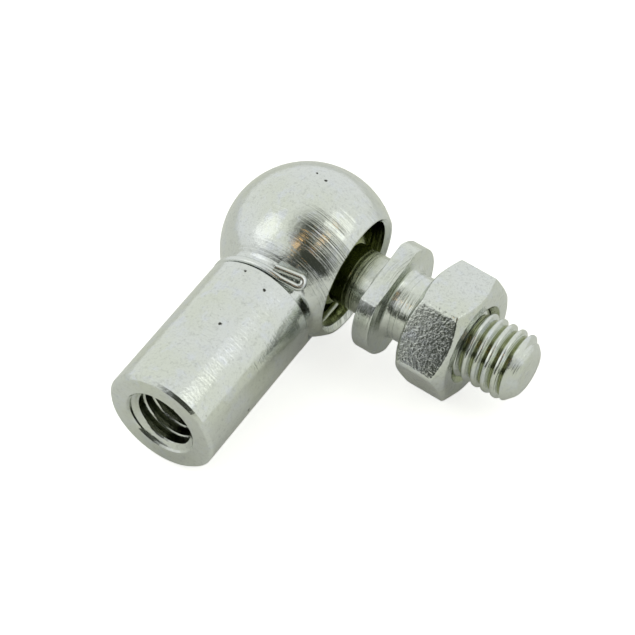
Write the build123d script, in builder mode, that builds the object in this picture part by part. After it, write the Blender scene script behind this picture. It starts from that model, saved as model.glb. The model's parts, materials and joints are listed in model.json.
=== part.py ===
from build123d import *
from math import acos, asin, atan2, cos, degrees, hypot, radians, sin, sqrt, tan
import os

os.makedirs("parts", exist_ok=True)

# Angle ball joint, size 16 with M10 threads, millimetres, +Z up.
# The origin is the centre of the ball. The joint lies on a flat surface at
# its natural rest: head, shank rim and nut touch it, and both arms dip a
# little from the head. In plan the shank points along -Y and the stud along +X.

# --- socket -----------------------------------------------------------------
head_d = 24.0               # spherical head
shank_d = 16.1              # round shank
shank_length = 35.0         # ball centre to shank end face
shank_chamfer = 0.45        # outer edge of the end face
groove_depth = 1.05         # clip groove behind the head, below the shank
groove_width = 2.35         # head to shank shoulder, at the floor
groove_blend = 1.2          # head to groove floor
groove_fillet = 0.35        # root of the shoulder
shoulder_round = 0.2        # edge of the shoulder
mouth_face = 7.95           # ball centre to the flat rim of the mouth
mouth_chamfer = 0.6         # inner edge of the rim
mouth_roll = 2.9            # degrees, mouth turned down from the stud about the shank
tapped_d = 10.0             # M10 internal thread, wall at its major diameter
tapped_depth = 18.0         # full thread
drill_angle = 118.0         # point of the tapping drill
tapped_countersink = 0.25   # widening at the entry

# --- ball stud --------------------------------------------------------------
ball_d = 16.0
ball_clearance = 0.08       # ball to seat, all round
neck_d = 8.8
neck_fillet = 0.6           # neck to collar
collar_d = 16.0
collar_start = 12.9         # ball centre to the collar's ball side
collar_thickness = 2.5
collar_chamfer = 0.12
collar_flats = 13.0         # across the two spanner flats
collar_roll = 20.0          # flats turned from level, about the stud
flare_radius = 0.9          # collar to stud
stud_d = 9.8                # M10 external thread, wall at its crests
stud_length = 35.7          # ball centre to the stud's end
stud_chamfer = 1.65         # lead-in at the stud's end
thread_pitch = 1.5
thread_depth = 0.82         # crest to root
thread_root = 0.2           # flat at the root, along the stud
thread_flank = 30.0         # degrees, each flank from square
thread_start = 19.07        # ball centre to the groove's first turn
stud_lean = 2.0             # degrees, stud turned from square towards the shank, in plan

# --- safety clip ------------------------------------------------------------
wire_d = 1.1
wire_clearance = 0.02       # wire to the groove's floor
ring_gap = 0.28             # wire to the shank shoulder
leg_from_ball = 0.24        # gap between leg and ball
leg_angle = 50.0            # leg's place round the shank, below the mouth's axis
leg_end = 8.0               # ball centre to the leg's cut end
leg_hole_clearance = 0.06
leg_bend = 1.1              # centre-line radius, leg to ring
hook_angle = 72.0           # where the wire leaves the groove, above the mouth's axis
hook_ease = 4.0             # centre-line radius where the hook turns to the head
hook_turn = 1.5             # degrees
hook_tilt = 24.0            # degrees by which the fold lifts off the head
hook_run = 2.3              # straight length before the return bend
hook_gap = 0.3              # between the hook's two runs, at the bend
hook_squeeze = 5.0          # degrees by which the runs close up
hook_return = 3.6           # straight length after the bend

# --- hex nut ----------------------------------------------------------------
nut_flats = 16.45
nut_height = 7.7
nut_start = 19.8            # ball centre to the nut's collar side
nut_clearance = 0.05        # nut's wall to the stud, all round
nut_face = 0.92             # chamfer circle as a share of the flats
nut_countersink = 0.85
nut_chamfer_angle = 32.0

# --- rest attitude ----------------------------------------------------------
head_r, shank_r = head_d / 2, shank_d / 2
groove_r = shank_r - groove_depth
stud_r, wire_r, nut_r = stud_d / 2, wire_d / 2, nut_flats / 2
nut_end = nut_start + nut_height


def dip(radius, reach):
    """Angle below level at which a ring of this radius, at this reach, rests."""
    return asin(head_r / hypot(radius, reach)) - atan2(radius, reach)


nut_low = nut_end - nut_r * (1 - nut_face) * tan(radians(nut_chamfer_angle))
shank_dip = dip(shank_r, shank_length - shank_chamfer)
stud_dip = dip(nut_r, nut_low)
lean = radians(stud_lean)

shank_axis = Vector(0, -cos(shank_dip), -sin(shank_dip))
stud_axis = Vector(cos(stud_dip) * cos(lean), -cos(stud_dip) * sin(lean), -sin(stud_dip))
across = (stud_axis - shank_axis * stud_axis.dot(shank_axis)).normalized()
mouth_axis = across.rotate(Axis((0, 0, 0), shank_axis), -mouth_roll)
stud_down = (Vector(0, 0, -1) - stud_axis * stud_axis.dot(Vector(0, 0, -1))).normalized()

# Along an arm, local z runs out from the ball. Turned profiles are drawn in a
# plane whose x runs along the arm and whose y is the radius.
shank_plane = Plane((0, 0, 0), x_dir=mouth_axis, z_dir=shank_axis)
mouth_plane = Plane((0, 0, 0), x_dir=shank_axis, z_dir=mouth_axis)
stud_plane = Plane((0, 0, 0), x_dir=stud_down, z_dir=stud_axis)
shank_profile = Plane((0, 0, 0), x_dir=shank_axis, z_dir=mouth_axis)
stud_profile = Plane((0, 0, 0), x_dir=stud_axis, z_dir=stud_down)

ball_r = ball_d / 2
seat_r = ball_r + ball_clearance
groove_start = sqrt(head_r**2 - groove_r**2)
groove_end = groove_start + groove_width
leg_radius = ball_r + leg_from_ball + wire_r
leg_x = leg_radius * cos(radians(leg_angle))
leg_y = -leg_radius * sin(radians(leg_angle))

# --- ball socket: turned head, groove and shank, bored across and tapped -----
with BuildPart() as ball_socket:
    with BuildSketch(shank_profile):
        with BuildLine():
            nose = (-head_r, 0)
            meet = (groove_start, groove_r)
            top = (0, head_r)
            ThreePointArc(nose, top, meet)
            Polyline(
                meet,
                (groove_end, groove_r),
                (groove_end, shank_r),
                (shank_length - shank_chamfer, shank_r),
                (shank_length, shank_r - shank_chamfer),
                (shank_length, 0),
                nose,
            )
        make_face()
    revolve(axis=Axis((0, 0, 0), shank_axis))
    shoulder = ball_socket.edges().filter_by(GeomType.CIRCLE).filter_by(
        lambda e: abs((e.arc_center - Vector(0, 0, 0)).length - groove_end) < 1e-3
    )
    fillet(shoulder.sort_by(lambda e: e.radius)[0], groove_fillet)
    shoulder = ball_socket.edges().filter_by(GeomType.CIRCLE).filter_by(
        lambda e: abs((e.arc_center - Vector(0, 0, 0)).length - groove_end) < 1e-3
        and abs(e.radius - shank_r) < 1e-3
    )
    fillet(shoulder, shoulder_round)
    blend = ball_socket.edges().filter_by(GeomType.CIRCLE).filter_by(
        lambda e: abs((e.arc_center - Vector(0, 0, 0)).length - groove_start) < 1e-3
    )
    fillet(blend, groove_blend)
    # mouth: flat rim, bore with a round bottom for the ball
    with BuildSketch(mouth_plane.offset(mouth_face)):
        Circle(head_r + 1)
    extrude(amount=head_r, mode=Mode.SUBTRACT)
    with BuildSketch(Plane((0, 0, 0), x_dir=mouth_axis, z_dir=shank_axis)):
        with BuildLine():
            CenterArc((0, 0), seat_r, 90, 90)
            Polyline(
                (0, seat_r),
                (mouth_face - mouth_chamfer, seat_r),
                (mouth_face, seat_r + mouth_chamfer),
                (mouth_face, 0),
                (-seat_r, 0),
            )
        make_face()
    revolve(axis=Axis((0, 0, 0), mouth_axis), mode=Mode.SUBTRACT)
    # tapped hole in the shank end
    tapped_r = tapped_d / 2
    tapped_end = shank_length - tapped_depth
    with BuildSketch(shank_profile):
        with BuildLine():
            Polyline(
                (tapped_end - tapped_r / tan(radians(drill_angle / 2)), 0),
                (tapped_end, tapped_r),
                (shank_length - tapped_countersink, tapped_r),
                (shank_length, tapped_r + tapped_countersink),
                (shank_length, 0),
                close=True,
            )
        make_face()
    revolve(axis=Axis((0, 0, 0), shank_axis), mode=Mode.SUBTRACT)
    # hole for the clip's straight leg, drilled through the head beside the ball
    with BuildSketch(shank_plane.offset(-head_r)):
        with Locations((leg_x, leg_y)):
            Circle(wire_r + leg_hole_clearance)
    extrude(amount=head_r + groove_end, mode=Mode.SUBTRACT)
ball_socket.part.label = "ball_socket"
export_step(ball_socket.part, "parts/ball_socket.step")

# --- safety clip: leg, bend, ring round the groove and folded hook -----------
ring_r = groove_r + wire_r + wire_clearance
ring_at = groove_end - ring_gap - wire_r
hook_bend = wire_r + hook_gap / 2
ring_plane = shank_plane.offset(ring_at)
leg_turn = degrees(acos(ring_r / leg_radius))
ring_first = radians(-leg_angle - leg_turn)
ring_last = radians(hook_angle - 360)
ring_half = (ring_first + ring_last) / 2
run_x, run_y = sin(ring_first), -cos(ring_first)


def on_ring(angle):
    return ring_plane.from_local_coords((ring_r * cos(angle), ring_r * sin(angle), 0))


leg_out = ring_plane.from_local_coords((leg_x, leg_y, -leg_bend))
bend_mid = ring_plane.from_local_coords((
    leg_x + run_x * leg_bend * (1 - cos(radians(45))),
    leg_y + run_y * leg_bend * (1 - cos(radians(45))),
    -leg_bend * (1 - sin(radians(45))),
))
bend_out = ring_plane.from_local_coords((leg_x + run_x * leg_bend, leg_y + run_y * leg_bend, 0))
hook_origin = on_ring(ring_last)
hook_plane = Plane(
    hook_origin,
    x_dir=mouth_axis * sin(ring_last) - shank_plane.y_dir * cos(ring_last),
    z_dir=mouth_axis * cos(ring_last) + shank_plane.y_dir * sin(ring_last),
).rotated((hook_tilt, 0, 0))

with BuildLine(hook_plane) as hook_line:
    ease = JernArc((0, 0), (1, 0), hook_ease, hook_turn)
    out = Line(ease @ 1, ease @ 1 + (ease % 1) * hook_run)
    back = JernArc(out @ 1, out % 1, hook_bend, 180 + hook_squeeze)
    Line(back @ 1, back @ 1 + (back % 1) * hook_return)

with BuildLine() as clip_line:
    Line(shank_plane.from_local_coords((leg_x, leg_y, -leg_end)), leg_out)
    ThreePointArc(leg_out, bend_mid, bend_out)
    Line(bend_out, on_ring(ring_first))
    ThreePointArc(on_ring(ring_first), on_ring(ring_half), on_ring(ring_last))
    add(hook_line.line)

with BuildPart() as safety_clip:
    with BuildSketch(Plane(clip_line.line @ 0, z_dir=clip_line.line % 0)):
        Circle(wire_r)
    sweep(path=clip_line.line)
safety_clip.part.label = "safety_clip"
export_step(safety_clip.part, "parts/safety_clip.step")

# --- ball stud: turned in one piece, two spanner flats on the collar ---------
collar_end = collar_start + collar_thickness
collar_r, neck_r = collar_d / 2, neck_d / 2
rod_start = thread_start - thread_pitch
rod_length = stud_length - rod_start
thread_lip = 0.1            # how far the groove's sides pass the rod's wall
root_half = thread_root / 2
lip_half = root_half + (thread_depth + thread_lip) * tan(radians(thread_flank))


def strand(radius, shift):
    """A helix at this radius on the upright rod, moved along it from the groove's middle."""
    middle = (0, 0, thread_start - rod_start + shift)
    return Edge.make_helix(thread_pitch, rod_length, radius, center=middle)


# threaded rod, cut upright: a groove with flat root and flanks between
# right-hand helices that run out past the end, then the lead-in
with BuildPart() as threaded_rod:
    Cylinder(stud_r, rod_length, align=(Align.CENTER, Align.CENTER, Align.MIN))
    corners = [
        strand(stud_r - thread_depth, -root_half),
        strand(stud_r + thread_lip, -lip_half),
        strand(stud_r + thread_lip, lip_half),
        strand(stud_r - thread_depth, root_half),
    ]
    sides = [Face.make_surface_from_curves(a, b) for a, b in zip(corners, corners[1:] + corners[:1])]
    caps = [Face(Wire.make_polygon([edge @ end for edge in corners], close=True)) for end in (0, 1)]
    add(Solid(Shell(sides + caps)), mode=Mode.SUBTRACT)
    with BuildSketch(Plane.XZ):
        with BuildLine():
            Polyline(
                (0, 0),
                (stud_r, 0),
                (stud_r, rod_length - stud_chamfer),
                (stud_r - stud_chamfer, rod_length),
                (0, rod_length),
                close=True,
            )
        make_face()
    revolve(axis=Axis.Z, mode=Mode.INTERSECT)

with BuildPart() as ball_stud:
    with BuildSketch(stud_profile):
        with BuildLine():
            ball_end = (sqrt(ball_r**2 - neck_r**2), neck_r)
            ThreePointArc((-ball_r, 0), (0, ball_r), ball_end)
            Polyline(ball_end, (collar_start - neck_fillet, neck_r))
            RadiusArc(
                (collar_start - neck_fillet, neck_r),
                (collar_start, neck_r + neck_fillet),
                neck_fillet,
            )
            Polyline(
                (collar_start, neck_r + neck_fillet),
                (collar_start, collar_r - collar_chamfer),
                (collar_start + collar_chamfer, collar_r),
                (collar_end - collar_chamfer, collar_r),
                (collar_end, collar_r - collar_chamfer),
                (collar_end, stud_r + flare_radius),
            )
            RadiusArc(
                (collar_end, stud_r + flare_radius),
                (collar_end + flare_radius, stud_r),
                flare_radius,
            )
            Polyline(
                (collar_end + flare_radius, stud_r),
                (rod_start, stud_r),
                (rod_start, 0),
                (-ball_r, 0),
            )
        make_face()
    revolve(axis=Axis((0, 0, 0), stud_axis))
    with BuildSketch(stud_plane.offset(collar_start)):
        with PolarLocations((collar_flats + collar_d) / 2, 2, start_angle=collar_roll):
            Rectangle(collar_d, 2 * collar_d)
    extrude(amount=collar_thickness, mode=Mode.SUBTRACT)
    add(threaded_rod.part.moved(stud_plane.offset(rod_start).location))
ball_stud.part.label = "ball_stud"
export_step(ball_stud.part, "parts/ball_stud.step")

# --- hex nut: one flat down, both faces chamfered and countersunk ------------
nut_hole_r = stud_r + nut_clearance
nut_corner_r = nut_r / cos(radians(30))
nut_slope = (nut_corner_r - nut_r * nut_face) * tan(radians(nut_chamfer_angle))
with BuildPart() as hex_nut:
    with BuildSketch(stud_plane.offset(nut_start)):
        RegularPolygon(nut_r, 6, major_radius=False, rotation=30)
    extrude(amount=nut_height)
    with BuildSketch(stud_profile):
        with BuildLine():
            Polyline(
                (nut_start, 0),
                (nut_start, nut_r * nut_face),
                (nut_start + nut_slope, nut_corner_r),
                (nut_end - nut_slope, nut_corner_r),
                (nut_end, nut_r * nut_face),
                (nut_end, 0),
                close=True,
            )
        make_face()
    revolve(axis=Axis((0, 0, 0), stud_axis), mode=Mode.INTERSECT)
    with BuildSketch(stud_profile):
        with BuildLine():
            Polyline(
                (nut_start, 0),
                (nut_start, nut_hole_r + nut_countersink),
                (nut_start + nut_countersink, nut_hole_r),
                (nut_end - nut_countersink, nut_hole_r),
                (nut_end, nut_hole_r + nut_countersink),
                (nut_end, 0),
                close=True,
            )
        make_face()
    revolve(axis=Axis((0, 0, 0), stud_axis), mode=Mode.SUBTRACT)
hex_nut.part.label = "hex_nut"
export_step(hex_nut.part, "parts/hex_nut.step")
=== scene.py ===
"""Dresses the angle ball joint: cut threads, turned stud, nut, bright zinc finishes and a light tent."""

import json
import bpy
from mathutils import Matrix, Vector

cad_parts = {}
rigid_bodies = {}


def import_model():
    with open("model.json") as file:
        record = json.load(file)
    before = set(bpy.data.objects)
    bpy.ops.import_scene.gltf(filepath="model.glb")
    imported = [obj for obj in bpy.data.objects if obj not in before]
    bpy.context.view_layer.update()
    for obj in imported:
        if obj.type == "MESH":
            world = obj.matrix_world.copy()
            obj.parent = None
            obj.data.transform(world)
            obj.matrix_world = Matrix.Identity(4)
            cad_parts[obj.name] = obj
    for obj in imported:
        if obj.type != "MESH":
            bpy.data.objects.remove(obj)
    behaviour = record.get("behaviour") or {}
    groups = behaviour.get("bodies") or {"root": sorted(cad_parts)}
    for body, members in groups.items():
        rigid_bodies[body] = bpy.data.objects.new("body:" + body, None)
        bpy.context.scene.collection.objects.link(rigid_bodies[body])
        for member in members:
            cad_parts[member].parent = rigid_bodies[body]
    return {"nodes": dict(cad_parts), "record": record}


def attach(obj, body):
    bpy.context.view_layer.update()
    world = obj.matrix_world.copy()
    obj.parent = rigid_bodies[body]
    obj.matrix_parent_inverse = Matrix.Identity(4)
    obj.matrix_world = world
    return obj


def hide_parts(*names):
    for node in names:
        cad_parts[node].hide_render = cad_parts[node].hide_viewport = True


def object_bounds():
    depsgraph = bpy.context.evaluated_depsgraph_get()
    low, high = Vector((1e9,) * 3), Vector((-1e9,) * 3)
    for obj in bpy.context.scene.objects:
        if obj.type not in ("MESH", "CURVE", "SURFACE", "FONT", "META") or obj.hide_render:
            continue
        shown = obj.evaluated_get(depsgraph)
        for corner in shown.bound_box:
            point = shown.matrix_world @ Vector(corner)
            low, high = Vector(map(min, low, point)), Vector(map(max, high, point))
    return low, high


bl_info = {
    "name": "Angle Ball Joint",
    "version": (1, 0, 0),
    "blender": (4, 5, 0),
    "location": "View3D > Sidebar > Ball Joint",
    "description": "Makes the threads, the turned stud, the nut, the zinc finishes and the studio",
    "category": "Object",
}

from math import ceil, cos, floor, pi, radians, sin, tan

import bmesh
import bpy
import numpy as np
from bpy.props import FloatProperty, FloatVectorProperty, PointerProperty
from bpy.types import Operator, Panel, PropertyGroup
from mathutils import Matrix, Vector

for leftover in list(bpy.data.objects):
    bpy.data.objects.remove(leftover)
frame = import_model()
CAD_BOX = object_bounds()
MOUNTS = {mount["name"]: mount for mount in frame["record"]["mounts"]}
MM = 0.001
WELD = 2e-7
FLANK_EASE = 0.25            # share of the thread's flank that is a smooth curve
COLLAR_SHARPNESS = 160.0     # how sharply the collar's flats meet its round
HEXAGON_SHARPNESS = 44.0     # how sharply the nut's flats meet each other
ENTRY_CONE = radians(60)     # slope of the tapped hole's entry
THREAD_SKIN = 0.03 * MM      # thickness behind the tapped hole's thread
FLARE_REACH = 1.4            # corner size of the flare, in flare radii
TOOL_SLANT = 0.83            # how far the lathe tool's feed follows the radius
LARGE_PITS = {"Pits_per_mm": 0.5, "Size": 0.14}
SMALL_PITS = {"Pits_per_mm": 2.0, "Size": 0.12}
SMALL_PIT_SHARE = 2.5        # small pits to large ones
SMALL_PIT_SHADE = 0.7
SCRATCH_SHADE = 0.25
PIT_DULLNESS = 0.4
RING_DULLNESS = 4.0          # roughness for each millimetre of ring height
FLOOR_HALF = 4.0
FLOOR_GAP = 0.02 * MM
FLOOR_LIFT = 0.72
FLOOR_GLOSS = 0.1            # share of the lift that mirrors see
# The tent's dark openings: azimuth, elevation, half width, half height and softness of the edge.
FRONT_OPENING = (radians(44), radians(40), radians(27), radians(42), 0.35)
LOW_OPENING = (radians(24), radians(11), radians(56), radians(19), 0.3)
# Lamps: azimuth, elevation, distance, width, height, brightness and tint.
LAMPS = {
    "left_softbox": (radians(-46), radians(40), 0.5, 0.22, 0.30, 0.36, (1.0, 1.0, 1.0)),
    "right_softbox": (radians(97), radians(48), 0.5, 0.26, 0.26, 0.55, (1.0, 1.0, 1.0)),
    "left_glint": (radians(16.5), radians(47), 0.6, 0.075, 0.075, 2.1, (1.0, 0.62, 0.28)),
    "right_glint": (radians(58.5), radians(46), 0.6, 0.07, 0.07, 2.1, (1.0, 0.66, 0.36)),
}


# --- places read from the frame ----------------------------------------------


def arm(mount, beside):
    """Three rows that turn the joint's axes into an arm's own: across, round and along it."""
    along = np.array(MOUNTS[mount]["axis"])
    across = np.array(beside) - along * np.dot(beside, along)
    across /= np.linalg.norm(across)
    return np.stack([across, np.cross(along, across), along])


def span(node, rows):
    """How far a CAD node reaches along an arm: (nearest, furthest) from the ball's centre."""
    mesh = frame["nodes"][node].data
    points = np.empty(len(mesh.vertices) * 3)
    mesh.vertices.foreach_get("co", points)
    along = points.reshape(-1, 3) @ rows[2]
    return along.min(), along.max()


SHANK = arm("rod_thread", MOUNTS["ball_centre"]["axis"])
STUD = arm("stud_thread_end", (0.0, 0.0, -1.0))
STUD_REACH = span("ball_stud", STUD)
NUT_REACH = span("hex_nut", STUD)
SHANK_REACH = span("ball_socket", SHANK)
FLOOR_HEIGHT = CAD_BOX[0].z
TAPPED = MOUNTS["rod_thread"]


# --- sizes and colours a user may change -------------------------------------


def length(name, description, default):
    return FloatProperty(
        name=name, description=description, default=default, min=0.0, unit="LENGTH", precision=5
    )


def angle(name, description, degrees):
    return FloatProperty(name=name, description=description, default=radians(degrees), subtype="ANGLE")


def share(name, description, default):
    return FloatProperty(
        name=name, description=description, default=default, min=0.0, max=1.0, subtype="FACTOR"
    )


def colour(name, description, default):
    return FloatVectorProperty(
        name=name, description=description, default=default, min=0.0, max=1.0, subtype="COLOR"
    )


class StudSizes(PropertyGroup):
    """The turned ball stud."""

    ball: length("Ball radius", "Radius of the ball", -STUD_REACH[0])
    neck: length("Neck radius", "Radius of the waist between ball and collar", 4.4 * MM)
    neck_fillet: length("Neck fillet", "Round between neck and collar", 0.6 * MM)
    collar: length("Collar radius", "Outer radius of the collar", 8.0 * MM)
    collar_start: length("Collar start", "Ball centre to the collar's ball side", 12.9 * MM)
    collar_end: length("Collar end", "Ball centre to the collar's nut side", 15.4 * MM)
    flats: length("Spanner flats", "Half the width across the collar's flats", 6.5 * MM)
    roll: angle("Flats' turn", "Turn of the flats from level", 20.0)
    shaft: length("Thread radius", "Radius over the thread's crests", 4.9 * MM)
    flare: length("Flare", "Round between collar and shaft", 0.9 * MM)
    edge: length("Edge", "How far the collar's edges are broken", 0.13 * MM)
    thread_start: length("Thread start", "Ball centre to the first turn", 18.9 * MM)
    chamfer: length("End chamfer", "Lead-in at the stud's end", 1.65 * MM)
    lip: length("End rounding", "Radius of the round between the lead-in and the flat end", 1.7 * MM)


class ThreadSizes(PropertyGroup):
    """The M10 thread, shared by stud and socket."""

    pitch: length("Pitch", "Advance of one turn", 1.5 * MM)
    depth: length("Depth", "Crest to root", 0.82 * MM)
    crest: share("Crest share", "Share of the pitch that is flat crest", 0.24)
    root: share("Root share", "Share of the pitch that is flat root", 0.08)
    ridge: share("Ridge share", "Share of the pitch that is the tapped hole's ridge", 0.04)
    hollow: share("Hollow share", "Share of the pitch that is the tapped hole's hollow", 0.3)
    phase: share("Phase", "Turn of the stud's thread, as a share of a turn", 0.79)


class NutSizes(PropertyGroup):
    """The hex nut."""

    flats: length("Half flats", "Half the width across flats", 8.225 * MM)
    bore: length("Bore radius", "Clear radius round the stud", 4.94 * MM)
    countersink: length("Countersink", "Widening of the bore at each face", 0.85 * MM)
    face: share("Face share", "Radius of the flat faces as a share of half the flats", 0.92)
    chamfer: angle("Chamfer", "Slope of the corners' chamfer", 32.0)
    edge: length("Edge", "How far the nut's edges are broken", 0.22 * MM)


class FinishColours(PropertyGroup):
    """The bright zinc plating, and the painted shade laid into its hollows."""

    silver: colour("Silver", "Clean plating", (0.745, 0.77, 0.75))
    straw: colour("Straw", "Faint yellow-green cast", (0.715, 0.745, 0.665))
    blue: colour("Blue", "Faint blue cast", (0.735, 0.765, 0.80))
    # Painted shade: a dark olive laid on the plating in the seat, the bore, the countersinks and the thread
    # roots, where shade falls.
    painted_shade: colour("Shaded", "Plating inside the seat, the bore and the threads", (0.27, 0.30, 0.14))
    stain: colour("Stain", "Pits and grime", (0.06, 0.06, 0.05))


class StudioSettings(PropertyGroup):
    """Camera, tent and lamps round the joint."""

    azimuth: angle("Azimuth", "Camera's place round the joint, from its shank towards its stud", 34.96)
    elevation: angle("Elevation", "Camera's height above level", 42.18)
    roll: angle("Roll", "Camera's turn about its own line of sight", -2.42)
    distance: length("Distance", "Camera to the point it looks at", 321.1 * MM)
    lens: FloatProperty(name="Lens", description="Focal length in millimetres", default=133.5, min=1.0)
    look_at: FloatVectorProperty(
        name="Look at",
        description="Point that the camera looks at",
        default=(4.383 * MM, -4.634 * MM, -6.964 * MM),
        subtype="TRANSLATION",
        precision=5,
    )
    tent: colour("Tent", "Light from the tent's walls", (0.86, 0.88, 0.86))
    opening: colour("Opening", "Light from the tent's dark front", (0.05, 0.055, 0.045))
    floor: colour("Floor", "Colour of the floor", (0.80, 0.81, 0.75))


# --- surfaces ------------------------------------------------------------------


def rounded_outline(corners, sizes, steps=4):
    """An outline with its inner corners rounded, one outline per column.

    Corners are (corner, column, along and radius). A corner B between A and C becomes the curve
    (1-t)^2 P + 2t(1-t) B + t^2 Q, where P and Q lie on BA and BC at the corner's size from B.
    """
    t = np.linspace(0.0, 1.0, steps + 1)[:, None, None]
    rows = [corners[:1]]
    for before, corner, after, size in zip(corners, corners[1:], corners[2:], sizes):
        back = before - corner
        ahead = after - corner
        start = corner + back * (size / np.linalg.norm(back, axis=-1, keepdims=True))
        end = corner + ahead * (size / np.linalg.norm(ahead, axis=-1, keepdims=True))
        rows.append((1 - t) ** 2 * start + 2 * t * (1 - t) * corner + t**2 * end)
    rows.append(corners[-1:])
    return np.concatenate(rows)


def ring_angles(count, edges, spread=radians(2.5), extra=6):
    """Angles round an arm from 0 to a full turn: evenly spaced, and closer together at each edge."""
    near = (np.array(edges)[:, None] + np.linspace(-spread, spread, 2 * extra + 1)).ravel() % (2 * pi)
    angles = np.concatenate([np.linspace(0.0, 2 * pi, count + 1), near])
    return np.unique(np.round(angles, 6))


def turned(along, radius, angles, rows):
    """Points of a surface carried round an arm: radius cos a across, radius sin a round, and along."""
    across, around, forward = rows
    along, radius = np.broadcast_arrays(along, radius)
    return (
        (radius * np.cos(angles))[..., None] * across
        + (radius * np.sin(angles))[..., None] * around
        + along[..., None] * forward
    )


def thread_height(turns, crest, root):
    """Height of a thread over its pitch, from 0 at the root to 1 at the crest.

    A triangle wave of the turns, with the crest's and root's shares cut off flat and the flanks eased
    by a blend of a straight line and the curve 3h^2 - 2h^3.
    """
    wave = np.abs(turns % 1.0 - 0.5) * 2
    rise = np.clip((wave - root) / (1 - root - crest), 0.0, 1.0)
    return (1 - FLANK_EASE) * rise + FLANK_EASE * rise * rise * (3 - 2 * rise)


def helix_rows(angles, start, end, pitch, steps=14):
    """Rows of a screw surface and their places along the arm.

    Row u lies at (u + a / 2 pi) pitch, a being the angle round the arm, cut off square at both ends.
    """
    first = floor(start / pitch) - 1
    turns = np.arange((ceil(end / pitch) - first) * steps + 1) / steps + first
    along = (turns[:, None] + angles / (2 * pi)) * pitch
    return turns[:, None], np.clip(along, start, end)


def cell_corners(rows, columns, first):
    """The four corners of every cell of a grid whose first point has this number."""
    corner = first + np.arange(rows - 1)[:, None] * columns + np.arange(columns - 1)
    corner = corner.ravel()
    return np.stack([corner, corner + columns, corner + columns + 1, corner + 1], axis=1)


def add_piece(name, sheets, body, material, replaced=None, sharp=32.0):
    """Joins grids of points into one closed mesh that rides on a body.

    Its faces point outwards, and edges sharper than the given angle in degrees stay sharp.
    """
    faces, first = [], 0
    for sheet in sheets:
        rows, columns = sheet.shape[:2]
        faces.append(cell_corners(rows, columns, first))
        first += rows * columns
    faces = np.concatenate(faces)
    points = np.concatenate([sheet.reshape(-1, 3) for sheet in sheets])
    mesh = bpy.data.meshes.new(name)
    mesh.vertices.add(len(points))
    mesh.vertices.foreach_set("co", points.ravel())
    mesh.loops.add(faces.size)
    mesh.loops.foreach_set("vertex_index", faces.ravel())
    mesh.polygons.add(len(faces))
    mesh.polygons.foreach_set("loop_start", np.arange(0, faces.size, 4))
    mesh.update(calc_edges=True)
    work = bmesh.new()
    work.from_mesh(mesh)
    bmesh.ops.remove_doubles(work, verts=work.verts, dist=WELD)
    bmesh.ops.dissolve_degenerate(work, edges=work.edges, dist=WELD)
    bmesh.ops.recalc_face_normals(work, faces=work.faces)
    open_edges = sum(not edge.is_manifold for edge in work.edges)
    work.to_mesh(mesh)
    work.free()
    if open_edges:
        raise RuntimeError(f"{name} has {open_edges} open edges")
    mesh.shade_smooth()
    mesh.set_sharp_from_angle(angle=radians(sharp))
    mesh.materials.append(material)
    piece = bpy.data.objects.new(name, mesh)
    bpy.context.scene.collection.objects.link(piece)
    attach(piece, body)
    if replaced:
        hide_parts(replaced)
    return piece


# --- shader parts ---------------------------------------------------------------


def add_node(tree, kind, settings=None, **values):
    """Adds a node, sets its own settings and fills or links its inputs, named with underscores for spaces."""
    node = tree.nodes.new(kind)
    for setting, value in (settings or {}).items():
        setattr(node, setting, value)
    for name, value in values.items():
        key = int(name[1:]) if name[0] == "_" else name.replace("_", " ")
        if isinstance(value, bpy.types.NodeSocket):
            tree.links.new(value, node.inputs[key])
        else:
            node.inputs[key].default_value = value
    return node


def arithmetic(tree, operation, first, second=0.0, third=0.0):
    node = add_node(tree, "ShaderNodeMath", {"operation": operation}, _0=first, _1=second, _2=third)
    return node.outputs[0]


def stretch(tree, value, low, high, to_low=0.0, to_high=1.0):
    """Maps a value from low..high to another range, with a smooth step and nothing outside it."""
    node = add_node(
        tree,
        "ShaderNodeMapRange",
        {"interpolation_type": "SMOOTHSTEP"},
        Value=value,
        From_Min=low,
        From_Max=high,
        To_Min=to_low,
        To_Max=to_high,
    )
    return node.outputs["Result"]


def mix_colour(tree, factor, first, second):
    node = add_node(tree, "ShaderNodeMix", {"data_type": "RGBA"}, _0=factor, _6=first, _7=second)
    return node.outputs[2]


def noise(tree, vector, scale, detail=2.0, roughness=0.5):
    node = add_node(
        tree, "ShaderNodeTexNoise", Vector=vector, Scale=scale, Detail=detail, Roughness=roughness
    )
    return node.outputs["Fac"]


def rgba(values):
    return (*values, 1.0)


def group_tree(name, inputs, outputs):
    """A new node group with named sockets, and its inside ends."""
    tree = bpy.data.node_groups.new(name, "ShaderNodeTree")
    kinds = {"vector": "NodeSocketVector", "value": "NodeSocketFloat", "colour": "NodeSocketColor"}
    for socket, kind in inputs.items():
        tree.interface.new_socket(name=socket, in_out="INPUT", socket_type=kinds[kind])
    for socket, kind in outputs.items():
        tree.interface.new_socket(name=socket, in_out="OUTPUT", socket_type=kinds[kind])
    return tree, tree.nodes.new("NodeGroupInput").outputs, tree.nodes.new("NodeGroupOutput").inputs


def spread(tree, place):
    """Distance of a place from the arm's line, and how far along the arm it lies."""
    parts = add_node(tree, "ShaderNodeSeparateXYZ", Vector=place).outputs
    flat = add_node(tree, "ShaderNodeCombineXYZ", X=parts["X"], Y=parts["Y"], Z=0.0).outputs[0]
    radius = add_node(tree, "ShaderNodeVectorMath", {"operation": "LENGTH"}, _0=flat)
    return radius.outputs["Value"], parts["Z"]


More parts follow.
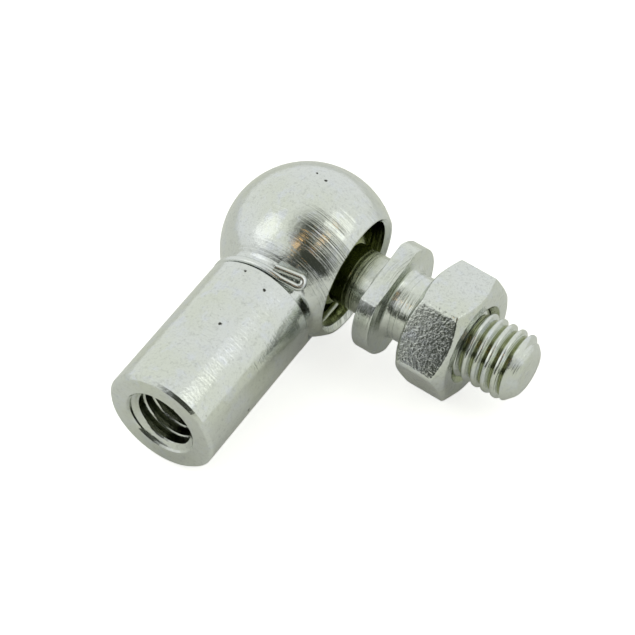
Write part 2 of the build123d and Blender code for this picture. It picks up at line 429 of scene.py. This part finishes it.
def turning_marks():
    """Rings left by the lathe tool, as a height in millimetres, from a place in millimetres on an arm.

    They keep only a share of their depth on the arm's quiet side, and again beyond a place along it.
    """
    tree, given, result = group_tree(
        "turning marks",
        {
            "Place": "vector",
            "Rings per mm": "value",
            "Depth": "value",
            "Quiet side": "value",
            "Quiet from": "value",
            "Quiet share": "value",
        },
        {"Height": "value"},
    )
    radius, along = spread(tree, given["Place"])
    across = add_node(tree, "ShaderNodeSeparateXYZ", Vector=given["Place"]).outputs["X"]
    feed = arithmetic(tree, "MULTIPLY_ADD", radius, -TOOL_SLANT, along)
    sway = arithmetic(tree, "MULTIPLY_ADD", noise(tree, given["Place"], 0.7, 1.0), 0.07, feed)
    rings = arithmetic(tree, "MULTIPLY", sway, given["Rings per mm"])
    fine = add_node(
        tree, "ShaderNodeTexNoise", {"noise_dimensions": "1D"}, W=rings, Scale=1.0, Detail=3.0, Roughness=0.6
    )
    bunches = add_node(
        tree, "ShaderNodeTexNoise", {"noise_dimensions": "1D"}, W=rings, Scale=0.27, Detail=1.0
    )
    worn = stretch(tree, noise(tree, given["Place"], 0.45, 3.0), 0.35, 0.62, 0.45, 1.0)
    bold = arithmetic(tree, "MULTIPLY", stretch(tree, bunches.outputs["Fac"], 0.35, 0.68, 0.45, 2.0), worn)
    height = arithmetic(tree, "MULTIPLY", arithmetic(tree, "SUBTRACT", fine.outputs["Fac"], 0.5), bold)
    quiet_end = arithmetic(tree, "ADD", given["Quiet from"], 0.8)
    side = stretch(tree, across, 1.0, 5.0, given["Quiet side"], 1.0)
    reach = stretch(tree, along, given["Quiet from"], quiet_end, 1.0, given["Quiet share"])
    depth = arithmetic(tree, "MULTIPLY", given["Depth"], arithmetic(tree, "MULTIPLY", side, reach))
    tree.links.new(arithmetic(tree, "MULTIPLY", height, depth), result["Height"])
    return tree


def plating_grain():
    """The plating's fine pimples, as a height in millimetres."""
    tree, given, result = group_tree(
        "plating grain",
        {"Place": "vector", "Grains per mm": "value", "Depth": "value"},
        {"Height": "value"},
    )
    fine = noise(tree, given["Place"], given["Grains per mm"], 2.0, 0.45)
    height = arithmetic(tree, "MULTIPLY", arithmetic(tree, "SUBTRACT", fine, 0.5), given["Depth"])
    tree.links.new(height, result["Height"])
    return tree


def plating_tone():
    """The plating's clouded, freckled colour, and how dull it is from place to place."""
    tree, given, result = group_tree(
        "plating tone",
        {
            "Place": "vector",
            "Silver": "colour",
            "Straw": "colour",
            "Blue": "colour",
            "Freckles": "value",
            "Dullness": "value",
        },
        {"Colour": "colour", "Roughness": "value"},
    )
    broad = noise(tree, given["Place"], 0.11, 2.0)
    cloud = noise(tree, given["Place"], 0.5, 4.0, 0.6)
    warm = mix_colour(tree, stretch(tree, broad, 0.35, 0.65), given["Silver"], given["Straw"])
    cool = mix_colour(tree, stretch(tree, cloud, 0.48, 0.72, 0.0, 0.8), warm, given["Blue"])
    blotch = stretch(tree, noise(tree, given["Place"], 1.7, 4.0, 0.75), 0.5, 0.3)
    freckle = stretch(tree, noise(tree, given["Place"], 4.6, 2.0, 0.6), 0.45, 0.28)
    dark = arithmetic(tree, "MULTIPLY_ADD", freckle, 0.8, blotch)
    light = arithmetic(tree, "SUBTRACT", 1.0, arithmetic(tree, "MULTIPLY", dark, given["Freckles"]))
    times = {"data_type": "RGBA", "blend_type": "MULTIPLY"}
    shade = add_node(tree, "ShaderNodeMix", times, _0=1.0, _6=cool, _7=light)
    tree.links.new(shade.outputs[2], result["Colour"])
    swing = arithmetic(tree, "SUBTRACT", cloud, 0.5)
    uneven = arithmetic(tree, "MULTIPLY_ADD", swing, 0.2, given["Dullness"])
    tree.links.new(uneven, result["Roughness"])
    return tree


def ragged_place(tree, place, size, amount):
    """A place pushed about by noise, so that what is drawn from it has ragged edges."""
    push = add_node(tree, "ShaderNodeTexNoise", Vector=place, Scale=size, Detail=2.0).outputs["Color"]
    centred = add_node(tree, "ShaderNodeVectorMath", {"operation": "SUBTRACT"}, _0=push, _1=(0.5, 0.5, 0.5))
    moved = add_node(
        tree,
        "ShaderNodeVectorMath",
        {"operation": "MULTIPLY_ADD"},
        _0=centred.outputs[0],
        _1=(amount, amount, amount),
        _2=place,
    )
    return moved.outputs[0]


def plating_pits():
    """Pits and flecks gathered in clusters: a mask and a height in millimetres."""
    tree, given, result = group_tree(
        "plating pits",
        {"Place": "vector", "Pits per mm": "value", "Size": "value", "Amount": "value"},
        {"Mask": "value", "Height": "value"},
    )
    ragged = ragged_place(tree, given["Place"], 4.0, 0.35)
    cells = add_node(tree, "ShaderNodeTexVoronoi", Vector=ragged, Scale=given["Pits per mm"], Randomness=1.0)
    lot = add_node(tree, "ShaderNodeSeparateColor", Color=cells.outputs["Color"])
    cluster = stretch(tree, noise(tree, given["Place"], 0.22, 2.0), 0.42, 0.62, 0.3, 2.2)
    share_here = arithmetic(tree, "MULTIPLY", given["Amount"], cluster)
    chosen = arithmetic(tree, "LESS_THAN", lot.outputs["Red"], share_here)
    reach = arithmetic(
        tree, "MULTIPLY", given["Size"], arithmetic(tree, "MULTIPLY_ADD", lot.outputs["Green"], 0.9, 0.3)
    )
    near = arithmetic(tree, "SUBTRACT", 1.0, arithmetic(tree, "DIVIDE", cells.outputs["Distance"], reach))
    mask = arithmetic(tree, "MULTIPLY", stretch(tree, near, 0.0, 0.45), chosen)
    tree.links.new(mask, result["Mask"])
    tree.links.new(arithmetic(tree, "MULTIPLY", mask, -0.02), result["Height"])
    return tree


def handling_scratches():
    """Fine crossing scratches, as a mask."""
    tree, given, result = group_tree(
        "handling scratches", {"Place": "vector", "Amount": "value"}, {"Mask": "value"}
    )
    total = None
    for turn in ((20, 35, 10), (-40, 10, 70), (75, -20, -35)):
        grain = add_node(
            tree,
            "ShaderNodeMapping",
            Vector=given["Place"],
            Rotation=[radians(part) for part in turn],
            Scale=(0.35, 6.0, 6.0),
        )
        line = noise(tree, grain.outputs[0], 1.0, 2.0, 0.6)
        hair = stretch(tree, line, 0.66, 0.73)
        total = hair if total is None else arithmetic(tree, "MAXIMUM", total, hair)
    tree.links.new(arithmetic(tree, "MULTIPLY", total, given["Amount"]), result["Mask"])
    return tree


def shade_near_ball():
    """A mask for painted shade, full near the ball's centre and fading to nothing further out."""
    tree, given, result = group_tree(
        "shade near ball", {"Place": "vector", "Full": "value", "Gone": "value"}, {"Mask": "value"}
    )
    away = add_node(tree, "ShaderNodeVectorMath", {"operation": "LENGTH"}, _0=given["Place"])
    mask = stretch(tree, away.outputs["Value"], given["Full"], given["Gone"], 1.0, 0.0)
    tree.links.new(mask, result["Mask"])
    return tree


def shade_zone():
    """A mask for painted shade between two radii and two places along the arm, fading out over a given width.
    """
    tree, given, result = group_tree(
        "shade zone",
        {
            "Place": "vector",
            "Inner": "value",
            "Outer": "value",
            "Start": "value",
            "End": "value",
            "Fade": "value",
        },
        {"Mask": "value"},
    )
    radius, along = spread(tree, given["Place"])
    mask = None
    for value, low, high in ((radius, "Inner", "Outer"), (along, "Start", "End")):
        before = arithmetic(tree, "SUBTRACT", given[low], given["Fade"])
        after = arithmetic(tree, "ADD", given[high], given["Fade"])
        rise = stretch(tree, value, before, given[low])
        band = arithmetic(tree, "MULTIPLY", rise, stretch(tree, value, given[high], after, 1.0, 0.0))
        mask = band if mask is None else arithmetic(tree, "MULTIPLY", mask, band)
    tree.links.new(mask, result["Mask"])
    return tree


def group(name, make):
    """The shared node group of this name, made the first time it is asked for."""
    return bpy.data.node_groups.get(name) or make()


def shared(tree, label, make, **values):
    """Places a shared node group in a material and returns what it puts out."""
    return add_node(tree, "ShaderNodeGroup", {"node_tree": group(label, make)}, **values).outputs


def place_on_arm(tree, rows):
    """Object coordinates turned to an arm's own axes, in millimetres."""
    turn = Matrix(rows.tolist()).to_euler()
    here = add_node(tree, "ShaderNodeTexCoord")
    return add_node(
        tree,
        "ShaderNodeMapping",
        Vector=here.outputs["Object"],
        Rotation=turn,
        Scale=(1 / MM, 1 / MM, 1 / MM),
    ).outputs[0]


def zinc_finish(
    name,
    rows,
    dullness,
    rings,
    ring_depth,
    grains,
    grain_depth,
    freckles,
    pits,
    near_ball=None,
    zones=(),
    quiet=(1.0, 60.0, 1.0),
):
    """Bright zinc plate on turned, drawn or pressed steel, with its own rings, grain, freckles and pits.

    Near_ball is the pair of distances over which a painted shade near the ball fades. Zones are rings of
    painted shade: inner and outer radius, start, end, fade and strength. Quiet is the rings' share on the far
    side, the place from which they are fainter, and their share there. Lengths are in millimetres.
    """
    finish = bpy.context.scene.ball_joint_finish
    material = bpy.data.materials.new(name)
    material.use_nodes = True
    tree = material.node_tree
    tree.nodes.clear()
    place = place_on_arm(tree, rows)
    tone = shared(
        tree,
        "plating tone",
        plating_tone,
        Place=place,
        Silver=rgba(finish.silver),
        Straw=rgba(finish.straw),
        Blue=rgba(finish.blue),
        Freckles=freckles,
        Dullness=dullness,
    )
    quiet_side, quiet_from, quiet_share = quiet
    lathe = shared(
        tree,
        "turning marks",
        turning_marks,
        Place=place,
        Rings_per_mm=rings,
        Depth=ring_depth,
        Quiet_side=quiet_side,
        Quiet_from=quiet_from,
        Quiet_share=quiet_share,
    )
    grain = shared(tree, "plating grain", plating_grain, Place=place, Grains_per_mm=grains, Depth=grain_depth)
    large = shared(tree, "plating pits", plating_pits, Place=place, Amount=pits, **LARGE_PITS)
    many = pits * SMALL_PIT_SHARE
    small = shared(tree, "plating pits", plating_pits, Place=place, Amount=many, **SMALL_PITS)
    hairs = shared(tree, "handling scratches", handling_scratches, Place=place, Amount=SCRATCH_SHADE)

    base = tone["Colour"]
    # Painted shade: the base colour is drawn towards the dark olive near the ball and in each zone, where
    # shade falls.
    painted_shade = rgba(finish.painted_shade)
    if near_ball:
        full, gone = near_ball
        near = shared(tree, "shade near ball", shade_near_ball, Place=place, Full=full, Gone=gone)
        base = mix_colour(tree, near["Mask"], base, painted_shade)
    for inner, outer, start, end, fade, strength in zones:
        zone = shared(
            tree,
            "shade zone",
            shade_zone,
            Place=place,
            Inner=inner,
            Outer=outer,
            Start=start,
            End=end,
            Fade=fade,
        )
        base = mix_colour(tree, arithmetic(tree, "MULTIPLY", zone["Mask"], strength), base, painted_shade)
    base = mix_colour(tree, hairs["Mask"], base, rgba([0.5 * part for part in finish.silver]))
    faint = arithmetic(tree, "MULTIPLY", small["Mask"], SMALL_PIT_SHADE)
    dirt = arithmetic(tree, "MAXIMUM", large["Mask"], faint)
    base = mix_colour(tree, dirt, base, rgba(finish.stain))
    rough = arithmetic(tree, "MULTIPLY_ADD", dirt, PIT_DULLNESS, tone["Roughness"])
    rough = arithmetic(tree, "MULTIPLY_ADD", lathe["Height"], RING_DULLNESS, rough)

    height = arithmetic(tree, "ADD", lathe["Height"], grain["Height"])
    height = arithmetic(tree, "ADD", height, large["Height"])
    bump = add_node(tree, "ShaderNodeBump", Strength=1.0, Distance=MM, Height=height)
    shader = add_node(
        tree,
        "ShaderNodeBsdfPrincipled",
        Base_Color=base,
        Roughness=rough,
        Metallic=1.0,
        Normal=bump.outputs["Normal"],
    )
    out = tree.nodes.new("ShaderNodeOutputMaterial")
    tree.links.new(shader.outputs["BSDF"], out.inputs["Surface"])
    return material


def socket_zinc():
    """The socket: strong rings round the shank's axis, painted shade in its seat and in the hollows of its
    thread.
    """
    end = SHANK_REACH[1] / MM
    return zinc_finish(
        "socket_zinc",
        SHANK,
        dullness=0.15,
        rings=2.2,
        ring_depth=0.105,
        grains=2.3,
        grain_depth=0.018,
        freckles=0.15,
        pits=0.13,
        # Painted shade inside the seat and in the hollows of the tapped thread.
        near_ball=(10.7, 10.95),
        zones=[(4.6, 5.03, 16.0, end - 1.2, 0.3, 0.65)],
        quiet=(0.3, 8.8, 0.1),
    )


def wire_zinc():
    """The clip's drawn wire, smoother and brighter than the turned pieces, with painted shade where it runs
    near the ball.
    """
    return zinc_finish(
        "wire_zinc",
        SHANK,
        dullness=0.26,
        rings=1.0,
        ring_depth=0.0,
        grains=3.0,
        grain_depth=0.006,
        freckles=0.06,
        pits=0.02,
        # Painted shade where the wire runs close to the ball.
        near_ball=(8.6, 9.2),
    )


def stud_zinc():
    """The ball stud: turned all over, with painted shade towards the ball and in the roots of its thread."""
    return zinc_finish(
        "stud_zinc",
        STUD,
        dullness=0.17,
        rings=2.7,
        ring_depth=0.055,
        grains=2.5,
        grain_depth=0.020,
        freckles=0.13,
        pits=0.05,
        # Painted shade on the neck towards the ball and in the roots of the thread.
        near_ball=(9.0, 14.2),
        zones=[(3.9, 4.2, 19.4, 33.8, 0.12, 0.85)],
    )


def nut_zinc():
    """The nut: pressed, so hammered and mottled rather than ringed, with painted shade in its bore and
    countersinks.
    """
    return zinc_finish(
        "nut_zinc",
        STUD,
        dullness=0.10,
        rings=2.0,
        ring_depth=0.002,
        grains=2.7,
        grain_depth=0.065,
        freckles=0.20,
        pits=0.0,
        # Painted shade in the bore and the countersinks.
        zones=[(4.5, 5.7, 15.0, 30.0, 0.12, 0.75)],
    )


def dress_node(node, material):
    """Gives a CAD node its finish."""
    frame["nodes"][node].data.materials.clear()
    frame["nodes"][node].data.materials.append(material)


# --- pieces ---------------------------------------------------------------------


class BALLJOINT_OT_socket(Operator):
    """Finish the socket and cut the thread in its shank"""

    bl_idname = "ball_joint.socket"
    bl_label = "Socket and its thread"

    def execute(self, context):
        """The thread lines the tapped hole: r = wall - depth x thread height, never inside the entry cone."""
        thread = context.scene.ball_joint_thread
        finish = socket_zinc()
        dress_node("ball_socket", finish)
        wall = TAPPED["dims"]["r_mm"] * MM
        middle = np.dot(TAPPED["pos_m"], SHANK[2])
        half = TAPPED["dims"]["length_mm"] * MM / 2
        start, end = middle - half, middle + half
        angles = ring_angles(120, [0.0])
        turns, along = helix_rows(angles, start, end, thread.pitch)
        run_in = np.clip((along - start) / thread.pitch, 0.0, 1.0)
        height = thread_height(turns, thread.ridge, thread.hollow) * run_in
        entry = wall - (end - along) * tan(ENTRY_CONE)
        radius = np.maximum(wall - thread.depth * height, entry)
        inside = turned(along, radius, angles, SHANK)
        back = np.array(
            [
                (end, wall),
                (end - THREAD_SKIN, wall + THREAD_SKIN),
                (start + THREAD_SKIN, wall + THREAD_SKIN),
                (start, wall),
            ]
        )
        behind = turned(back[:, :1], back[:, 1:], angles, SHANK)
        add_piece("socket_thread", [inside, behind], "socket", finish, sharp=50.0)
        return {"FINISHED"}


class BALLJOINT_OT_clip(Operator):
    """Finish the wire safety clip"""

    bl_idname = "ball_joint.clip"
    bl_label = "Safety clip"

    def execute(self, context):
        dress_node("safety_clip", wire_zinc())
        return {"FINISHED"}


class BALLJOINT_OT_stud(Operator):
    """Make the turned ball stud with its flats and thread"""

    bl_idname = "ball_joint.stud"
    bl_label = "Ball stud"

    def execute(self, context):
        """The outline is carried round the stud; the collar's radius is the softened least of its turned
        radius and flats / |cos a|, and the thread is r = crest - depth (1 - thread height)."""
        sizes, thread = context.scene.ball_joint_stud, context.scene.ball_joint_thread
        flat_edge = np.arccos(sizes.flats / sizes.collar)
        edges = [sizes.roll + side * pi + sign * flat_edge for side in (0, 1) for sign in (-1, 1)]
        angles = ring_angles(168, edges, radians(1.5), 3)
        flats = sizes.flats / np.maximum(np.abs(np.cos(angles - sizes.roll)), 1e-3)
        collar = sizes.collar * (1 + (sizes.collar / flats) ** COLLAR_SHARPNESS) ** (-1 / COLLAR_SHARPNESS)

        joint = np.arcsin(sizes.neck / sizes.ball)
        swing = np.linspace(pi, joint, 40)[:, None]
        ball = turned(sizes.ball * np.cos(swing), sizes.ball * np.sin(swing), angles, STUD)

        neck_end = sizes.ball * cos(joint)
        end = STUD_REACH[1]
        outline = [
            (neck_end, sizes.neck),
            (sizes.collar_start, sizes.neck),
            (sizes.collar_start, collar),
            (sizes.collar_end, collar),
            (sizes.collar_end, sizes.shaft),
            (sizes.thread_start, sizes.shaft),
        ]
        corners = np.stack([np.stack(np.broadcast_arrays(a, r, angles)[:2], axis=-1) for a, r in outline])
        rounds = (sizes.neck_fillet, sizes.edge, sizes.edge, FLARE_REACH * sizes.flare)
        rows = rounded_outline(corners, rounds, 6)
        body = turned(rows[..., 0], rows[..., 1], angles, STUD)

        tip = sizes.shaft - sizes.chamfer
        lip = sizes.lip
        dome_start = end - lip * (1 - cos(pi / 4))
        turns, along = helix_rows(angles, sizes.thread_start, dome_start, thread.pitch)
        fade = np.clip((along - sizes.thread_start) / thread.pitch, 0.0, 1.0)
        cut = thread.depth * (1 - thread_height(turns + thread.phase, thread.crest, thread.root))
        radius = np.minimum(sizes.shaft - cut * fade, tip + (end - along))
        screw = turned(along, radius, angles, STUD)

        dome = np.linspace(pi / 4, pi / 2, 8)[:, None]
        flat_end = tip - lip * (2**0.5 - 1)
        cap = turned(end - lip * (1 - np.sin(dome)), flat_end + lip * np.cos(dome), angles, STUD)
        face = turned(np.full((2, 1), end), np.array([[flat_end], [0.0]]), angles, STUD)
        sheets = [ball, body, screw, cap, face]
        add_piece("ball_stud_turned", sheets, "stud", stud_zinc(), "ball_stud")
        return {"FINISHED"}


class BALLJOINT_OT_nut(Operator):
    """Make the hex nut with chamfered corners"""

    bl_idname = "ball_joint.nut"
    bl_label = "Hex nut"

    def execute(self, context):
        """Round the nut the radius is the softened least of the six flats, a / cos(angle to the flat); each
        face meets the flats along a cone."""
        sizes = context.scene.ball_joint_nut
        low, high = NUT_REACH
        angles = ring_angles(180, [radians(30 + 60 * side) for side in range(6)], radians(3), 5)
        facing = np.cos(angles[:, None] - radians(60) * np.arange(6))
        sides = np.maximum(facing, 1e-6) ** HEXAGON_SHARPNESS
        hexagon = sizes.flats * np.sum(sides, axis=1) ** (-1 / HEXAGON_SHARPNESS)
        face = sizes.flats * sizes.face
        cone = (hexagon - face) * tan(sizes.chamfer)
        wide = sizes.bore + sizes.countersink
        outline = [
            (low + sizes.countersink, sizes.bore),
            (low, wide),
            (low, face),
            (low + cone, hexagon),
            (high - cone, hexagon),
            (high, face),
            (high, wide),
            (high - sizes.countersink, sizes.bore),
        ]
        corners = np.stack([np.stack(np.broadcast_arrays(a, r, angles)[:2], axis=-1) for a, r in outline])
        rows = rounded_outline(corners, [sizes.edge] * 6, 4)
        outside = turned(rows[..., 0], rows[..., 1], angles, STUD)
        ends = np.array([[high - sizes.countersink], [low + sizes.countersink]])
        bore = turned(ends, np.full((2, 1), sizes.bore), angles, STUD)
        add_piece("hex_nut_pressed", [outside, bore], "nut", nut_zinc(), "hex_nut")
        return {"FINISHED"}


# --- studio ---------------------------------------------------------------------


def towards(azimuth, elevation):
    """Unit vector to a place round the joint: azimuth from the shank towards the stud."""
    return Vector((sin(azimuth) * cos(elevation), -cos(azimuth) * cos(elevation), sin(elevation)))


def add_floor(studio):
    """A wide pale floor that shows white and keeps the joint's soft shadow."""
    half = FLOOR_HALF
    mesh = bpy.data.meshes.new("floor")
    low = FLOOR_HEIGHT - FLOOR_GAP
    corners = [(-half, -half, low), (half, -half, low), (half, half, low), (-half, half, low)]
    mesh.from_pydata(corners, [], [(0, 1, 2, 3)])
    floor_piece = bpy.data.objects.new("floor", mesh)
    bpy.context.scene.collection.objects.link(floor_piece)
    material = bpy.data.materials.new("pale_floor")
    material.use_nodes = True
    tree = material.node_tree
    tree.nodes.clear()
    rays = tree.nodes.new("ShaderNodeLightPath").outputs
    seen = arithmetic(tree, "MULTIPLY_ADD", rays["Is Glossy Ray"], FLOOR_GLOSS, rays["Is Camera Ray"])
    seen = arithmetic(tree, "MAXIMUM", seen, rays["Is Transmission Ray"])
    diffuse = add_node(tree, "ShaderNodeBsdfDiffuse", Color=rgba(studio.floor))
    strength = arithmetic(tree, "MULTIPLY", seen, FLOOR_LIFT)
    lift = add_node(tree, "ShaderNodeEmission", Color=(1, 1, 1, 1), Strength=strength)
    both = add_node(tree, "ShaderNodeAddShader", _0=diffuse.outputs[0], _1=lift.outputs[0])
    out = tree.nodes.new("ShaderNodeOutputMaterial")
    tree.links.new(both.outputs[0], out.inputs["Surface"])
    mesh.materials.append(material)


def soft_patch(tree, direction, azimuth, elevation, half_width, half_height, edge):
    """1 inside an oval patch of the sky round a direction and 0 outside it, with a soft edge."""
    basis = Matrix.Rotation(elevation, 3, "Y") @ Matrix.Rotation(-(azimuth - pi / 2), 3, "Z")
    local = add_node(tree, "ShaderNodeMapping", Vector=direction, Rotation=basis.to_euler())
    parts = add_node(tree, "ShaderNodeSeparateXYZ", Vector=local.outputs[0]).outputs
    side = arithmetic(tree, "DIVIDE", parts["Y"], sin(half_width))
    rise = arithmetic(tree, "DIVIDE", parts["Z"], sin(half_height))
    square = arithmetic(tree, "MULTIPLY", side, side)
    far = arithmetic(tree, "SQRT", arithmetic(tree, "MULTIPLY_ADD", rise, rise, square))
    inside = stretch(tree, far, 1.0 - edge, 1.0 + edge, 1.0, 0.0)
    return arithmetic(tree, "MULTIPLY", inside, arithmetic(tree, "GREATER_THAN", parts["X"], 0.0))


def light_tent(studio):
    """The world: a bright tent with two dark openings, and plain white where the camera sees it."""
    world = bpy.data.worlds.new("light_tent")
    bpy.context.scene.world = world
    world.use_nodes = True
    tree = world.node_tree
    tree.nodes.clear()
    direction = add_node(tree, "ShaderNodeTexCoord").outputs["Generated"]
    front = soft_patch(tree, direction, *FRONT_OPENING)
    low = soft_patch(tree, direction, *LOW_OPENING)
    opening = arithmetic(tree, "MAXIMUM", front, low)
    shade = mix_colour(tree, opening, rgba(studio.tent), rgba(studio.opening))
    camera = tree.nodes.new("ShaderNodeLightPath").outputs["Is Camera Ray"]
    seen = mix_colour(tree, camera, shade, (1, 1, 1, 1))
    light = add_node(tree, "ShaderNodeBackground", Color=seen, Strength=1.0)
    out = tree.nodes.new("ShaderNodeOutputWorld")
    tree.links.new(light.outputs[0], out.inputs["Surface"])


def add_softbox(name, azimuth, elevation, distance, width, height, brightness, tint):
    """A rectangular lamp facing the joint.

    Its power is brightness x pi x area, brightness being what a mirror shows.
    """
    lamp = bpy.data.lights.new(name, "AREA")
    lamp.shape = "RECTANGLE"
    lamp.size = width
    lamp.size_y = height
    lamp.energy = brightness * pi * width * height
    lamp.color = tint
    box = bpy.data.objects.new(name, lamp)
    away = towards(azimuth, elevation)
    facing = away.to_track_quat("Z", "Y").to_matrix().to_4x4()
    box.matrix_world = Matrix.Translation(away * distance) @ facing
    bpy.context.scene.collection.objects.link(box)


def add_camera(studio):
    """A long lens at its azimuth and elevation round the point it looks at, turned by its roll."""
    data = bpy.data.cameras.new("camera")
    data.lens = studio.lens
    data.sensor_width = 36.0
    data.clip_start = 0.01
    data.clip_end = 50.0
    camera = bpy.data.objects.new("camera", data)
    away = towards(studio.azimuth, studio.elevation)
    turn = away.to_track_quat("Z", "Y").to_matrix() @ Matrix.Rotation(studio.roll, 3, "Z")
    place = Vector(studio.look_at) + away * studio.distance
    camera.matrix_world = Matrix.Translation(place) @ turn.to_4x4()
    bpy.context.scene.collection.objects.link(camera)
    bpy.context.scene.camera = camera


class BALLJOINT_OT_studio(Operator):
    """Set up the floor, the light tent, the lamps and the camera"""

    bl_idname = "ball_joint.studio"
    bl_label = "Studio"

    def execute(self, context):
        studio = context.scene.ball_joint_studio
        add_floor(studio)
        light_tent(studio)
        for name, lamp in LAMPS.items():
            add_softbox(name, *lamp)
        add_camera(studio)
        context.scene.view_settings.view_transform = "Standard"
        return {"FINISHED"}


class BALLJOINT_PT_sidebar(Panel):
    """The joint's pieces and its studio"""

    bl_idname = "BALLJOINT_PT_sidebar"
    bl_label = "Angle Ball Joint"
    bl_space_type = "VIEW_3D"
    bl_region_type = "UI"
    bl_category = "Ball Joint"

    def draw(self, context):
        for step in STEPS:
            self.layout.operator(step.bl_idname)
        for name in SETTINGS:
            box = self.layout.box()
            settings = getattr(context.scene, name)
            for field in settings.__annotations__:
                box.prop(settings, field)


STEPS = (BALLJOINT_OT_studio, BALLJOINT_OT_socket, BALLJOINT_OT_clip, BALLJOINT_OT_stud, BALLJOINT_OT_nut)
SETTINGS = {
    "ball_joint_stud": StudSizes,
    "ball_joint_thread": ThreadSizes,
    "ball_joint_nut": NutSizes,
    "ball_joint_finish": FinishColours,
    "ball_joint_studio": StudioSettings,
}


def register():
    for kind in (*SETTINGS.values(), *STEPS, BALLJOINT_PT_sidebar):
        bpy.utils.register_class(kind)
    for name, kind in SETTINGS.items():
        setattr(bpy.types.Scene, name, PointerProperty(type=kind))


def unregister():
    for name in SETTINGS:
        delattr(bpy.types.Scene, name)
    for kind in (BALLJOINT_PT_sidebar, *reversed(STEPS), *reversed(SETTINGS.values())):
        bpy.utils.unregister_class(kind)


def main():
    register()
    bpy.ops.ball_joint.studio()
    bpy.ops.ball_joint.socket()
    bpy.ops.ball_joint.clip()
    bpy.ops.ball_joint.stud()
    bpy.ops.ball_joint.nut()


if __name__ == "__main__":
    main()
